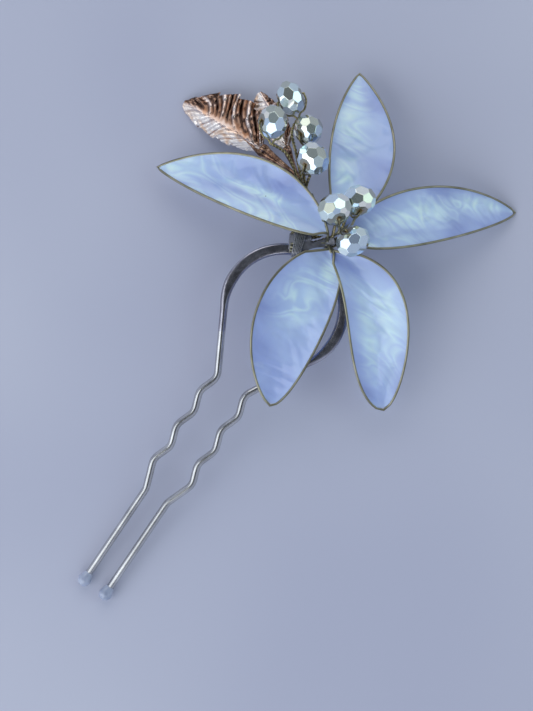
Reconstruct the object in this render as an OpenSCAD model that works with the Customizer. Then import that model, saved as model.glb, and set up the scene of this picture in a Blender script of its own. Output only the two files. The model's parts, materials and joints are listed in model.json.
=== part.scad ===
// Wavy U-shaped hair pin with a wired five-petal flower, glass beads and a leaf spray.
// It lies face up: +Y runs along the pin from the leg tips to the crown, +Z is up.
// The origin is on the table below the middle of the two leg tips.

/* [Pin] */
// Distance from the middle of the tips to the top of the crown
pin_length = 79; // [70:0.5:95]
// Diameter of the round wire
pin_wire_d = 1.45; // [1.2:0.05:1.8]
// Radius of the crown, to the middle of the wire
crown_radius = 11.5; // [9.5:0.5:14]
// Width of the flattened crown band
band_width = 2.25; // [1.8:0.05:2.6]
// Thickness of the flattened crown band
band_thickness = 0.95; // [0.7:0.05:1.2]
// Slope of the flanks away from the pin's axis
flank_angle = 28.5; // [24:0.5:34]
// Distance between the middles of the waved legs
waved_gap = 7.7; // [7:0.1:9.5]
// Distance between the middles of the straight leg ends
straight_gap = 5; // [4.6:0.1:6]
// Length of one full wave
wave_pitch = 8.1; // [7.2:0.1:9]
// Slope of the wire between two waves
wave_angle = 20; // [12:1:26]
// Radius of each bend, to the middle of the wire
bend_radius = 3; // [2.2:0.1:4]
// Slope of the pin as it lies, with its crown raised by the flower
pin_tilt = 5.8; // [5:0.1:7]

/* [Tips] */
// Diameter of a moulded tip
tip_d = 2.7; // [2.4:0.1:3.2]
// Length of the neck of a moulded tip, from its middle
tip_neck = 1.9; // [1.6:0.1:2.6]

/* [Petals] */
// Diameter of the wire round each petal
petal_wire_d = 0.5; // [0.4:0.05:0.6]
// Thickness of the resin film
film_thickness = 0.34; // [0.25:0.01:0.4]
// Reach of the left petal from the flower's centre
left_reach = 37.6; // [32:0.1:46]
// Reach of the upper petal
upper_reach = 33.6; // [28:0.1:42]
// Reach of the right petal
right_reach = 36.7; // [32:0.1:46]
// Reach of the lower right petal
lower_right_reach = 33.8; // [28:0.1:42]
// Reach of the lower left petal
lower_left_reach = 33.8; // [28:0.1:42]
// Width of the left petal
left_width = 10.6; // [8:0.1:13]
// Width of the upper petal
upper_width = 11.9; // [8:0.1:13]
// Width of the right petal
right_width = 10.3; // [8:0.1:13]
// Width of the lower right petal
lower_right_width = 11.2; // [8:0.1:13]
// Width of the lower left petal
lower_left_width = 13.2; // [9:0.1:15]

/* [Beads] */
// Diameter of the six large faceted beads
bead_d = 6.2; // [5.2:0.1:6.4]
// Diameter of the small faceted bead
small_bead_d = 5.4; // [4.8:0.1:6]
// Thickness of a bead, along its bore
bead_thickness = 4.8; // [4:0.1:5.2]
// Diameter of the wire that each bead turns on
bead_wire_d = 0.4; // [0.3:0.05:0.5]
// Room between a bead's bore and its wire, at each side
bead_clearance = 0.08; // [0.05:0.01:0.1]
// Number of facets round a bead
bead_facets = 8; // [8:1:12]

/* [Leaves] */
// Thickness of the leaf metal
leaf_thickness = 0.35; // [0.25:0.05:0.5]
// Widest half width of the large leaf
leaf_half_width = 6.8; // [5:0.1:8]
// Widest half width of the small leaf
small_leaf_half_width = 3.3; // [2.5:0.1:4]
// Diameter of a leaf's wire stem
leaf_stem_d = 0.6; // [0.5:0.05:0.7]

/* [Bindings] */
// Diameter of the binding wire
binding_wire_d = 0.3; // [0.2:0.05:0.4]
// Turns of wire that hold the flower on the crown
flower_turns = 6; // [4:1:8]
// Turns of wire round the spray's stems
spray_turns = 6; // [4:1:8]

/* [Hidden] */
$fn = 32;

// ---- The flower's centre and its stem ----

// Strands that are twisted together in the flower's stem
strand_d = 0.72;
strand_count = 8;
strand_gap = 0.03;
strand_ring = (strand_d + strand_gap) / (2 * sin(180 / strand_count));
stem_radius = strand_ring + strand_d / 2;

crown_y = pin_length - crown_radius - band_width / 2;
tip_z = tip_d / 2;
function raised(y) = tip_z + y * sin(pin_tilt);

// The stems lie on the crown band, side by side, from one angle round the crown to another
bound_from = 13;
bound_to = 29;
stem_z = raised(crown_y + crown_radius) + band_thickness / 2 + stem_radius + strand_gap;
function on_crown(angle, out, z) =
    [-(crown_radius + out) * sin(angle), crown_y + (crown_radius + out) * cos(angle), z];

// Middle of the flower, where the petals meet, in front of the crown
flower_at = [0.9, crown_y + crown_radius + 4.2, stem_z + 3];
// Circle on which the petals' loops close
root_radius = 2;

// ---- Vectors and curves ----

function unit(v) = v / norm(v);
function blend(a, b, t) = a + (b - a) * t;
function ease(t) = let (c = min(max(t, 0), 1)) c * c * (3 - 2 * c);
function square_to(v, axis) = unit(v - (v * axis) * axis);
function heading(angle) = [cos(angle), sin(angle), 0];

// Smooth curve through the points p
function curve_point(p, i, t) =
    let (a = p[max(i - 1, 0)], b = p[i], c = p[i + 1], d = p[min(i + 2, len(p) - 1)])
    b + (c - a) * t / 2 + (2 * a - 5 * b + 4 * c - d) * t * t / 2 + (3 * b - a - 3 * c + d) * t * t * t / 2;
function curve(p, steps) =
    [for (i = [0:len(p) - 2]) for (k = [0:steps - 1]) curve_point(p, i, k / steps), p[len(p) - 1]];

function tangent(path, i) = unit(path[min(i + 1, len(path) - 1)] - path[max(i - 1, 0)]);
// A side direction at each point, carried along the path without twisting
function sides_of(path, first) =
    [for (i = 0, n = square_to(first, tangent(path, 0));
          i < len(path);
          i = i + 1, n = i < len(path) ? square_to(n, tangent(path, i)) : n) n];
// A path beside another one, at a distance and an angle round it
function beside(path, first, radius, angle) =
    let (n = sides_of(path, first))
    [for (i = [0:len(path) - 1])
        path[i] + radius * (cos(angle) * n[i] + sin(angle) * cross(tangent(path, i), n[i]))];

// Solid through closed rings of points
module loft(rings) {
    count = len(rings[0]);
    last = len(rings) - 1;
    polyhedron(
        points = [for (ring = rings) each ring],
        faces = concat(
            [[for (k = [0:count - 1]) k]],
            [for (i = [0:last - 1], k = [0:count - 1])
                [i * count + k, (i + 1) * count + k, (i + 1) * count + (k + 1) % count]],
            [for (i = [0:last - 1], k = [0:count - 1])
                [i * count + k, (i + 1) * count + (k + 1) % count, i * count + (k + 1) % count]],
            [[for (k = [count - 1:-1:0]) last * count + k]]));
}

// Round wire along a path, with one diameter or one for each point
module wire(path, d, sides = 6, first = [0.3, 0.2, 1]) {
    n = sides_of(path, first);
    loft([for (i = [0:len(path) - 1])
        let (r = (is_list(d) ? d[i] : d) / 2, b = cross(tangent(path, i), n[i]))
        [for (k = [0:sides - 1]) path[i] + r * (cos(360 * k / sides) * n[i] + sin(360 * k / sides) * b)]]);
}
function from_second(list) = [for (i = [1:len(list) - 1]) list[i]];
function backwards(list) = [for (i = [len(list) - 1:-1:0]) list[i]];

// Turns a piece made along +Z at the origin to a place and a direction
module place(at, axis)
    translate(at) rotate([0, acos(axis.z), atan2(axis.y, axis.x)]) children();

// ---- The pin ----

wave_corner = wave_pitch / 4 * tan(wave_angle);
flank_top = [crown_radius * cos(flank_angle), crown_y - crown_radius * sin(flank_angle)];
shoulder_x = waved_gap / 2 - wave_corner;
shoulder_y = flank_top.y - (flank_top.x - shoulder_x) / tan(flank_angle);
flex_rise = 3.5;
flex_at = [shoulder_x + flex_rise * tan(flank_angle), shoulder_y + flex_rise];
wave_count = 3;
last_crest_y = shoulder_y - wave_pitch * (wave_count - 0.5);
inward_y = last_crest_y - (waved_gap / 2 + wave_corner - straight_gap / 2) / tan(wave_angle);
flex_d = pin_wire_d + 0.05;
flex_clearance = 0.08;

// Corners of the right leg's middle line, from the flank down to the tip
leg_corners = concat(
    [flex_at],
    [for (i = [0:2 * wave_count - 1])
        [waved_gap / 2 + (i % 2 == 0 ? -1 : 1) * wave_corner, shoulder_y - i * wave_pitch / 2]],
    [[straight_gap / 2, inward_y], [straight_gap / 2, 0]]);

module in_pin_plane() translate([0, 0, tip_z]) rotate([pin_tilt, 0, 0]) children();

function turn_at(a, b, c) =
    let (u = b - a, v = c - b) atan2(u.x * v.y - u.y * v.x, u.x * v.x + u.y * v.y);
// Points round the bend at corner i of a plane path
bend_steps = 5;
function bend_points(c, i) =
    let (turn = turn_at(c[i - 1], c[i], c[i + 1]), along = unit(c[i] - c[i - 1]),
         start = c[i] - along * bend_radius * tan(abs(turn) / 2),
         middle = start + sign(turn) * bend_radius * [-along.y, along.x],
         from = atan2(start.y - middle.y, start.x - middle.x))
    [for (k = [0:bend_steps])
        middle + bend_radius * [cos(from + turn * k / bend_steps), sin(from + turn * k / bend_steps)]];
function bent_path(c) =
    concat([c[0]], [for (i = [1:len(c) - 2]) each bend_points(c, i)], [c[len(c) - 1]]);

// The right leg. Its round end sits in the hollow end of the flank, where the wire flexes
leg_sides = 10;
module leg() color("silver") in_pin_plane() {
    wire([for (p = bent_path(leg_corners)) [p.x, p.y, 0]], pin_wire_d, leg_sides, [0, 0, 1]);
    translate([flex_at.x, flex_at.y, 0]) sphere(d = flex_d);
}

module left_leg() mirror([1, 0, 0]) leg();
module right_leg() leg();

// Crown and flanks: round wire that becomes a flat band round the crown
head_steps = 40;
function head_turn(t) = blend(-flank_angle, 180 + flank_angle, t);
function head_section(path_point, along, flat) =
    let (out = [along.y, -along.x, 0],
         w = blend(pin_wire_d, band_width, flat) / 2,
         h = blend(pin_wire_d, band_thickness, flat) / 2,
         squareness = blend(1, 0.7, flat))
    [for (k = [0:11])
        let (a = 30 * k)
        path_point + w * sign(cos(a)) * pow(abs(cos(a)), squareness) * out
            + h * sign(sin(a)) * pow(abs(sin(a)), squareness) * [0, 0, 1]];
function flatness(y) = ease((y - flank_top.y + 2) / 7);

module pin_head() color("slategray") in_pin_plane() difference() {
    loft(concat(
        [head_section([flex_at.x, flex_at.y, 0], heading(90 - flank_angle), 0)],
        [for (i = [0:head_steps])
            let (a = head_turn(i / head_steps), p = crown_radius * heading(a) + [0, crown_y, 0])
            head_section(p, heading(a + 90), flatness(p.y))],
        [head_section([-flex_at.x, flex_at.y, 0], heading(270 + flank_angle), 0)]));
    for (side = [-1, 1])
        translate([side * flex_at.x, flex_at.y, 0]) sphere(d = flex_d + 2 * flex_clearance);
}

// Moulded tip with a blind hole that the leg's end is glued in
tip_fit = 0.01;
module tip() color("aliceblue") in_pin_plane() translate([straight_gap / 2, 0, 0])
    rotate([-90, 0, 0]) difference() {
        rotate_extrude() intersection() {
            union() {
                circle(d = tip_d);
                polygon([
                    [0, 0], [tip_d * 0.46, tip_d * 0.2],
                    [pin_wire_d / 2 + 0.2, tip_neck], [0, tip_neck]]);
            }
            translate([0, -tip_d]) square([tip_d, 3 * tip_d]);
        }
        translate([0, 0, -tip_fit]) cylinder(h = 2 * tip_neck, d = pin_wire_d + 2 * tip_fit);
    }

module left_tip() mirror([1, 0, 0]) tip();
module right_tip() tip();

// ---- Petals ----

// reach, direction, width, fullness at the root, fullness at the tip, bow, lean of the bow,
// drop of the tip below the flower's centre, arch, hollow, twist, rise of the root, its shift sideways
LEFT = [left_reach, 190.5, left_width, 0.76, 0.88, -3.35, 0.2, 10.8, 1.7, 0.9, 0.06, -0.3, 0];
UPPER = [upper_reach, 115.4, upper_width, 0.93, 0.91, -2.6, 0.15, 9.6, 1.2, 1.1, -0.1, -0.8, 0];
right_drop = flower_at.z - petal_wire_d / 2;
RIGHT = [right_reach, 44.3, right_width, 0.61, 0.76, 1.9, 0.16, right_drop, 1.4, 1, 0.05, 0.75, 0];
LOWER_RIGHT = [
    lower_right_reach, -39.1, lower_right_width, 0.6, 0.59, 3.4, -1.1, 8, 1.5, 1.2, 0.1, 0.6, -2.0];
LOWER_LEFT = [
    lower_left_reach, -77.3, lower_left_width, 0.54, 0.68, -2.4, -0.1, 4.8, 0.8, 1.2, -0.08, -0.5, 0];

// Half the room between the two ends of a loop
root_gap = petal_wire_d / 2 + 0.03;
// Where the petal's loop closes, as a share of its reach
function root_of(p) = root_radius / p[0];
function past_root(p, u) = min(max((u - root_of(p)) / (1 - root_of(p)), 0), 1);
function half_width(p, u) =
    let (s = past_root(p, u), peak = p[3] / (p[3] + p[4]))
    root_gap * (1 - s) + p[2] / 2 * pow(s / peak, p[3]) * pow((1 - s) / (1 - peak), p[4]);
function petal_point(p, u, v) =
    let (out = heading(p[1]), left = heading(p[1] + 90), h = half_width(p, u),
         middle = 4 * u * (1 - u) * (p[5] + 2 * p[6] * (2 * u - 1)) + p[12] * pow(1 - past_root(p, u), 8),
         z = blend(p[11], 0, u) - p[7] * pow(u, 1.4) + p[8] * 4 * u * (1 - u))
    flower_at + out * p[0] * u + left * (middle + v * h)
        + [0, 0, z + (v * v - 1) * p[9] * 2 * h / p[2] + p[10] * v * h];

petal_steps = 22;
function petal_station(p, k) =
    let (t = k / petal_steps) blend(root_of(p), 1, t + 0.12 * sin(360 * t) / 2 - 0.02 * sin(180 * t));
// Middle line of the flower's stem: straight down, then round onto the crown band
stem_axis = curve([flower_at + [0, 0, 0.5], flower_at - [0, 0, 1], flower_at + [-0.7, -0.8, -2.5],
    flower_at + [-2.1, -2.6, -3], on_crown(bound_from + 3, 0.2, stem_z), on_crown(21, 0.2, stem_z),
    on_crown(25, 0.2, stem_z), on_crown(bound_to, 0.2, stem_z)], 2);
// Middle line of one strand, at its compass direction round the top of the stem
function stem_strand(slot) = beside(stem_axis, [1, 0, 0], strand_ring, -slot);

// Twisted tail up the stem to the root, then one loop of wire round the petal and back beside the root
module petal_wire(p, slot) color("darkkhaki") {
    left_side = [for (k = [0:petal_steps]) petal_point(p, petal_station(p, k), 1)];
    right_side = [for (k = [petal_steps - 1:-1:1]) petal_point(p, petal_station(p, k), -1)];
    root = petal_point(p, root_of(p), 0);
    strand = from_second(from_second(stem_strand(slot)));
    tail = concat(backwards(from_second(strand)), curve([strand[0], root - [0, 0, 0.1], left_side[1]], 3));
    loop = concat(from_second(from_second(left_side)), right_side,
        [blend(right_side[len(right_side) - 1], root, 0.55)]);
    wire(concat(tail, loop),
        concat([for (i = [0:len(tail) - 1]) i < len(tail) - 3 ? strand_d : petal_wire_d],
            [for (point = loop) petal_wire_d]), 6, [0, 0, 1]);
}

film_cells = 6;
// Thin hollow film of resin across the loop
module petal_resin(p) color("lightsteelblue")
    loft([for (k = concat([for (i = [1:petal_steps - 1]) i], [petal_steps - 0.35]))
        let (u = petal_station(p, k))
        concat(
            [for (j = [film_cells:-2:-film_cells])
                petal_point(p, u, j / film_cells) + [0, 0, film_thickness / 2]],
            [for (j = [-film_cells:2:film_cells])
                petal_point(p, u, j / film_cells) - [0, 0, film_thickness / 2]])]);

module left_petal_wire() petal_wire(LEFT, 218);
module upper_petal_wire() petal_wire(UPPER, 119);
module right_petal_wire() petal_wire(RIGHT, 35);
module lower_right_petal_wire() petal_wire(LOWER_RIGHT, 303);
module lower_left_petal_wire() petal_wire(LOWER_LEFT, 258);
module left_petal_resin() petal_resin(LEFT);
module upper_petal_resin() petal_resin(UPPER);
module right_petal_resin() petal_resin(RIGHT);
module lower_right_petal_resin() petal_resin(LOWER_RIGHT);
module lower_left_petal_resin() petal_resin(LOWER_LEFT);

// ---- Beads ----

// middle of the bead from the middle of the flower, direction of its bore, diameter
FLOWER_LEFT = [flower_at + [-3.3, 4.1, 7.3], unit([0.66, -0.44, 0.6]), bead_d];
FLOWER_UPPER = [flower_at + [-0.6, 8.3, 3.7], unit([0.6, -0.62, 0.5]), bead_d];
FLOWER_RIGHT = [flower_at + [2.8, 1.3, 5.3], unit([-0.84, 0.34, 0.42]), bead_d];
SPRAY_OUTER = [flower_at + [-22.5, 11.9, -0.1], unit([-0.74, -0.46, 0.49]), bead_d];
SPRAY_TOP = [flower_at + [-22.5, 18.1, -3.9], unit([0.59, 0.81, 0.1]), bead_d];
SPRAY_SMALL = [flower_at + [-16.2, 14.9, -3.1], unit([-0.31, -0.74, 0.6]), small_bead_d];
SPRAY_INNER = [flower_at + [-12.1, 10.2, 1.3], unit([-0.25, -0.79, 0.56]), bead_d];

bead_bore = bead_wire_d + 2 * bead_clearance;
// Distances along the bore and from it, as shares of half the thickness and of the radius
BEAD_RINGS = [[-1, 0.48], [-0.6, 0.83], [0, 1], [0.6, 0.83], [1, 0.48]];

module bead(b) color("ivory") place(b[0], b[1]) difference() {
    loft([for (i = [0:len(BEAD_RINGS) - 1])
        [for (k = [0:bead_facets - 1])
            let (a = (k - i / 2) * 360 / bead_facets, r = BEAD_RINGS[i][1] * b[2] / 2)
            [r * cos(a), r * sin(a), BEAD_RINGS[i][0] * bead_thickness / 2]]]);
    cylinder(h = 2 * bead_thickness, d = bead_bore, center = true);
}

// Side of the bead on which its wire comes together, towards the place it is tied at
function fork_side(b, tied) = square_to(tied - b[0], b[1]);
fork_room = 0.55;
// The arms' six flats lie just outside the round wire
arm_d = 1.02 * bead_wire_d / cos(30);
fork_reach = 1.1;

// Middle line of one arm, from the bore round the bead to the given end beside or on the stem
function fork_arm(b, side, way, end) =
    let (half = bead_thickness / 2, r = b[2] / 2)
    [for (p = [[half + fork_room * 0.4, 0], [half + fork_room, fork_room * 0.8],
               [half + fork_room, r * 0.6], [half * 0.62, r + 0.4], end])
        b[0] + b[1] * p[0] * way + side * p[1]];

// Wire through the bore. Its two arms come round the bead and are twisted into one stem,
// which passes the points in via on its way to its strand
module bead_wire(b, stem, via) color("peru") {
    tied = concat([for (v = via) flower_at + v], [stem[0]]);
    side = fork_side(b, tied[0]);
    r = b[2] / 2;
    place(b[0], b[1]) cylinder(h = bead_thickness + fork_room, d = bead_wire_d, center = true);
    wire(curve(fork_arm(b, side, -1, [0.66, r + 0.85]), 3), arm_d);
    arm = curve(concat(fork_arm(b, side, 1, [0.1, r + fork_reach]), tied, [stem[1]]), 3);
    rest = from_second(from_second(stem));
    wire(concat(arm, rest),
        concat([for (i = [0:len(arm) - 1]) i < 11 ? arm_d : bead_stem_d], [for (point = rest) bead_stem_d]));
}

bead_stem_d = 0.56;
module flower_bead_left() bead(FLOWER_LEFT);
module flower_bead_upper() bead(FLOWER_UPPER);
module flower_bead_right() bead(FLOWER_RIGHT);
module flower_bead_left_wire() bead_wire(FLOWER_LEFT, stem_strand(160), []);
module flower_bead_upper_wire() bead_wire(FLOWER_UPPER, stem_strand(78), []);
module flower_bead_right_wire() bead_wire(FLOWER_RIGHT, stem_strand(355), []);

// ---- Spray ----

// Middle line of the spray's own stem, which hooks round under the left petal onto the crown
spray_out = stem_radius + 1.18;
spray_z = stem_z - 0.2;
spray_axis = curve(concat(
    [for (v = [[-12.2, 6.1], [-8.9, 3.9], [-5.9, 2.2], [-3.9, 1.2], [-3.3, -0.1], [-4.3, -1.3]])
        [flower_at.x + v.x, flower_at.y + v.y, spray_z - 0.06 * norm(v)]],
    [for (a = [20:4.5:bound_to]) on_crown(a, spray_out, spray_z)]), 2);
spray_ring = leaf_stem_d + 3 * strand_gap;
function spray_strand(slot) = beside(spray_axis, [0, 0, 1], spray_ring, slot);

module spray_bead_outer() bead(SPRAY_OUTER);
module spray_bead_top() bead(SPRAY_TOP);
module spray_bead_small() bead(SPRAY_SMALL);
module spray_bead_inner() bead(SPRAY_INNER);
module spray_bead_outer_wire() bead_wire(SPRAY_OUTER, spray_strand(60), [[-16.4, 8.4, -2.2]]);
module spray_bead_top_wire() bead_wire(SPRAY_TOP, spray_strand(0), [[-18.7, 13, -5.6], [-15.6, 9.9, -4.4]]);
module spray_bead_small_wire() bead_wire(SPRAY_SMALL, spray_strand(240), [[-13.9, 9.4, -4.3]]);
module spray_bead_inner_wire() bead_wire(SPRAY_INNER, spray_strand(300), []);

// base, middle and tip of the midrib from the middle of the flower, half width on the right and
// on the left, fold of the two halves, teeth, dip of the stem behind the blade, half width of the neck
LARGE_LEAF = [
    [-22.2, 7.1, -7], [-31.3, 7.3, -8.2], [-40.3, 6.8, -13.09],
    leaf_half_width, 0.6 * leaf_half_width, 10, 48, 5, 0.3, 1.3];
SMALL_LEAF = [
    [-18.2, 10.4, -7.6], [-23.3, 14.1, -7.8], [-28.7, 16.7, -10.8],
    0.7 * small_leaf_half_width, small_leaf_half_width, 22, 22, 4, 1.5, 0.8];

leaf_steps = 20;
function leaf_middle(l, t) =
    let (a = blend(l[0], l[1], t), b = blend(l[1], l[2], t)) flower_at + blend(a, b, t);
// Fullness at the base and at the tip, on the right and on the left of the midrib
RIGHT_SIDE = [0.7, 0.97];
LEFT_SIDE = [0.8, 0.6];
function leaf_half(l, t, side) =
    let (full = side < 0 ? RIGHT_SIDE : LEFT_SIDE, peak = full[0] / (full[0] + full[1]))
    0.6 * l[9] * (1 - t) + (side < 0 ? l[3] : l[4]) * (1 - 0.16 * ((l[7] * t + 0.5) % 1))
        * pow(t / peak, full[0]) * pow((1 - t) / (1 - peak), full[1]);
function leaf_point(l, t, v) =
    let (along = unit(l[2] - l[0]), across = square_to(cross([0, 0, 1], along), along),
         fold = v > 0 ? l[6] : l[5], w = leaf_half(l, t, v) * abs(v),
         ribs = 0.3 * abs(v) * (1 - abs(v) * 0.5) * sin(360 * (l[7] * (t - 0.12 * abs(v)))))
    leaf_middle(l, t) + across * sign(v) * w * cos(fold) + [0, 0, ribs - w * sin(fold)];
leaf_cells = 3;
module leaf(l) color("rosybrown")
    loft([for (k = [0:leaf_steps])
        let (t = k / leaf_steps * 0.98)
        concat(
            [for (j = [leaf_cells:-1:-leaf_cells])
                leaf_point(l, t, j / leaf_cells) + [0, 0, leaf_thickness / 2]],
            [for (j = [-leaf_cells:leaf_cells])
                leaf_point(l, t, j / leaf_cells) - [0, 0, leaf_thickness / 2]])]);

// A flat neck behind the blade, which draws in to the round wire of the stem
neck_sides = 8;
module leaf_stem(l, slot) color("sienna") {
    strand = spray_strand(slot);
    base = flower_at + l[0];
    inward = unit(l[0] - l[1]);
    lead_in = strand[0] + 1.6 * unit(strand[0] - strand[1]) - [0, 0, 0.25 * l[8]];
    behind = base + inward * 2 - [0, 0, l[8]];
    under = base - inward * 0.4 - [0, 0, 0.25];
    path = concat(curve([under, behind, lead_in, strand[0]], 4), from_second(strand));
    up = sides_of(path, [0, 0, 1]);
    loft([for (i = [0:len(path) - 1])
        let (drawn_in = min(i / 8, 1), across = cross(tangent(path, i), up[i]),
             half = blend(l[9], leaf_stem_d / 2, drawn_in * drawn_in * (3 - 2 * drawn_in)))
        [for (k = [0:neck_sides - 1])
            path[i] + leaf_stem_d / 2 * cos(360 * k / neck_sides) * up[i]
                + half * sin(360 * k / neck_sides) * across]]);
}

module large_leaf() leaf(LARGE_LEAF);
module small_leaf() leaf(SMALL_LEAF);
module large_leaf_stem() leaf_stem(LARGE_LEAF, 120);
module small_leaf_stem() leaf_stem(SMALL_LEAF, 180);

// ---- Bindings ----

// Close turns of wire round stems that run along a path of evenly spaced points
steps_a_turn = 12;
module binding(path, half_a, half_b, squareness, offset) {
    n = sides_of(path, [0, 0, 1]);
    wire([for (k = [0:len(path) - 1])
        let (a = 360 * k / steps_a_turn, c = cos(a), s = sin(a), across = cross(tangent(path, k), n[k]))
        path[k] + across * (offset.x + half_a * sign(c) * pow(abs(c), squareness))
            + n[k] * (offset.y + half_b * sign(s) * pow(abs(s), squareness))], binding_wire_d, 5);
}

spray_bound = spray_ring + leaf_stem_d / 2 + binding_wire_d / 2 + strand_gap;
spray_pitch = binding_wire_d + 0.1;
spray_bound_from = blend(spray_axis[2], spray_axis[4], 0.2);
spray_bound_along = unit(spray_axis[4] - spray_axis[2]);
module spray_binding() color("peru")
    binding([for (k = [0:spray_turns * steps_a_turn])
        spray_bound_from + spray_bound_along * spray_pitch * k / steps_a_turn],
        spray_bound, spray_bound, 1, [0, 0]);

// The flower's binding goes round the band, the flower's stem and the spray's stem together
wrap_in = band_width / 2 + 0.3;
wrap_out = spray_out + spray_ring + leaf_stem_d / 2 + 2 * strand_gap;
wrap_low = raised(crown_y + crown_radius * cos(bound_to)) - band_thickness / 2 - 0.15;
wrap_high = stem_z + stem_radius;
wrap_room = binding_wire_d / 2 + 5 * strand_gap;
wrap_squareness = 0.34;
module flower_binding() color("silver")
    binding([for (k = [0:flower_turns * steps_a_turn])
        on_crown(blend(bound_from + 4.8, bound_to - 2, k / (flower_turns * steps_a_turn)), 0, wrap_low)],
        (wrap_out + wrap_in) / 2 + wrap_room, (wrap_high - wrap_low) / 2 + wrap_room, wrap_squareness,
        [(wrap_out - wrap_in) / 2, (wrap_high - wrap_low) / 2]);

// Set clear adhesive along the top of the binding
glue_width = 2.4;
glue_height = 0.5;
glue_from = bound_from + 4;
glue_to = bound_to - 3;
module glue_pad() color("lightcyan")
    translate([0, crown_y, wrap_high + binding_wire_d + 7 * strand_gap])
        rotate([0, 0, 90 + glue_from]) rotate_extrude(angle = glue_to - glue_from) intersection() {
            translate([crown_radius + 0.4, glue_height / 2 - glue_width / 2]) circle(d = glue_width);
            translate([crown_radius - glue_width, 0]) square([3 * glue_width, glue_height]);
        }

pin_head();
left_leg();
right_leg();
left_tip();
right_tip();
left_petal_wire();
left_petal_resin();
upper_petal_wire();
upper_petal_resin();
right_petal_wire();
right_petal_resin();
lower_right_petal_wire();
lower_right_petal_resin();
lower_left_petal_wire();
lower_left_petal_resin();
flower_bead_left();
flower_bead_upper();
flower_bead_right();
flower_bead_left_wire();
flower_bead_upper_wire();
flower_bead_right_wire();
spray_bead_outer();
spray_bead_top();
spray_bead_small();
spray_bead_inner();
spray_bead_outer_wire();
spray_bead_top_wire();
spray_bead_small_wire();
spray_bead_inner_wire();
large_leaf();
small_leaf();
large_leaf_stem();
small_leaf_stem();
spray_binding();
flower_binding();
glue_pad();
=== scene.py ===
import json
import math
import random

import bpy
from mathutils import Matrix, Vector, noise


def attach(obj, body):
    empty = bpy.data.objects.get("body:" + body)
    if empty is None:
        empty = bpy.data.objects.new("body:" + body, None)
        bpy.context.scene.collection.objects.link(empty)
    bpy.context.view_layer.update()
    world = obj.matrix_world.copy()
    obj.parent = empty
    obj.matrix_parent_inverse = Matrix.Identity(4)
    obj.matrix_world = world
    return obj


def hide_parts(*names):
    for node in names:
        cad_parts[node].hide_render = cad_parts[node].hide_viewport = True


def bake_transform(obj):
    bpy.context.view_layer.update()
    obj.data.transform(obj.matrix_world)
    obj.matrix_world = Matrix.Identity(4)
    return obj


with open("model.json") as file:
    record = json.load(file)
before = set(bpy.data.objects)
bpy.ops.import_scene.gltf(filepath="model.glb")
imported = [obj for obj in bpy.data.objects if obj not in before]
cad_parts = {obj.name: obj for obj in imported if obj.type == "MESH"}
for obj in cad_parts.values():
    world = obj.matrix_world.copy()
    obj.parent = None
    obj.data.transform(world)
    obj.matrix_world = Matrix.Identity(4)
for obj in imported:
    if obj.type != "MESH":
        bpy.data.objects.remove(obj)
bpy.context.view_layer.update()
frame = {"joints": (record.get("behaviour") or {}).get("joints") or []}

# A wavy U-shaped hair pin with a wired resin flower, glass beads and a leaf spray, lying face up.
# Lengths are written in millimetres and turned into metres where a vertex is placed.
MM = 0.001
UP = Vector((0, 0, 1))
JOINTS = {joint["name"]: joint for joint in frame["joints"]}


def joint_place(name):
    return Vector(JOINTS[name]["pos_m"]) / MM


def joint_axis(name):
    return Vector(JOINTS[name]["axis"]).normalized()


# ---------------------------------------------------------------------------- measures

PIN_TILT = math.radians(5.8)
PIN_LENGTH = 79.0
WIRE_RADIUS = 0.725
CROWN_RADIUS = 11.5
BAND_WIDTH = 2.25
BAND_THICKNESS = 0.95
FLANK = math.radians(28.5)
WAVED_GAP = 7.7
STRAIGHT_GAP = 5.0
WAVE_PITCH = 8.1
WAVE_ANGLE = math.radians(20)
WAVES = 3
BEND_RADIUS = 3.0
TIP_RADIUS = 1.35
TIP_NECK = 1.9

CROWN_Y = PIN_LENGTH - CROWN_RADIUS - BAND_WIDTH / 2
STRAND_RADIUS = 0.36
STRAND_RING = 0.98
STEM_RADIUS = STRAND_RING + STRAND_RADIUS
BOUND_FROM = 13
BOUND_TO = 29

RIM_RADIUS = 0.25
FILM_THICKNESS = 0.34
ROOT_RADIUS = 2.0

BEAD_RADIUS = 3.1
SMALL_BEAD_RADIUS = 2.7
BEAD_HALF = 2.4
BEAD_WIRE_RADIUS = 0.2

LEFT_BEAD_OFFSET = Vector((-3.3, 4.1, 7.3))
FLOWER = joint_place("flower_bead_left_spin") - LEFT_BEAD_OFFSET
STEM_Z = FLOWER.z - 3


# ---------------------------------------------------------------------------- lines in space

def blend(a, b, t):
    return a + (b - a) * t


def ease(t):
    t = min(max(t, 0.0), 1.0)
    return t * t * (3 - 2 * t)


def heading(degrees):
    return Vector((math.cos(math.radians(degrees)), math.sin(math.radians(degrees)), 0))


def square_to(direction, axis):
    return (direction - axis * direction.dot(axis)).normalized()


def smooth_line(corners, steps):
    """Points of one smooth line that passes through all the corners."""
    line = []
    for i in range(len(corners) - 1):
        a, b = corners[max(i - 1, 0)], corners[i]
        c, d = corners[i + 1], corners[min(i + 2, len(corners) - 1)]
        for k in range(steps):
            t = k / steps
            line.append(b + (c - a) * t / 2 + (2 * a - 5 * b + 4 * c - d) * t * t / 2
                        + (3 * b - a - 3 * c + d) * t ** 3 / 2)
    line.append(corners[-1].copy())
    return line


def directions(line):
    last = len(line) - 1
    return [(line[min(i + 1, last)] - line[max(i - 1, 0)]).normalized() for i in range(len(line))]


def carried_sides(line, first):
    """A side direction at each point, carried along the line without twisting."""
    sides, side = [], first
    for along in directions(line):
        side = square_to(side, along)
        sides.append(side)
    return sides


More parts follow.
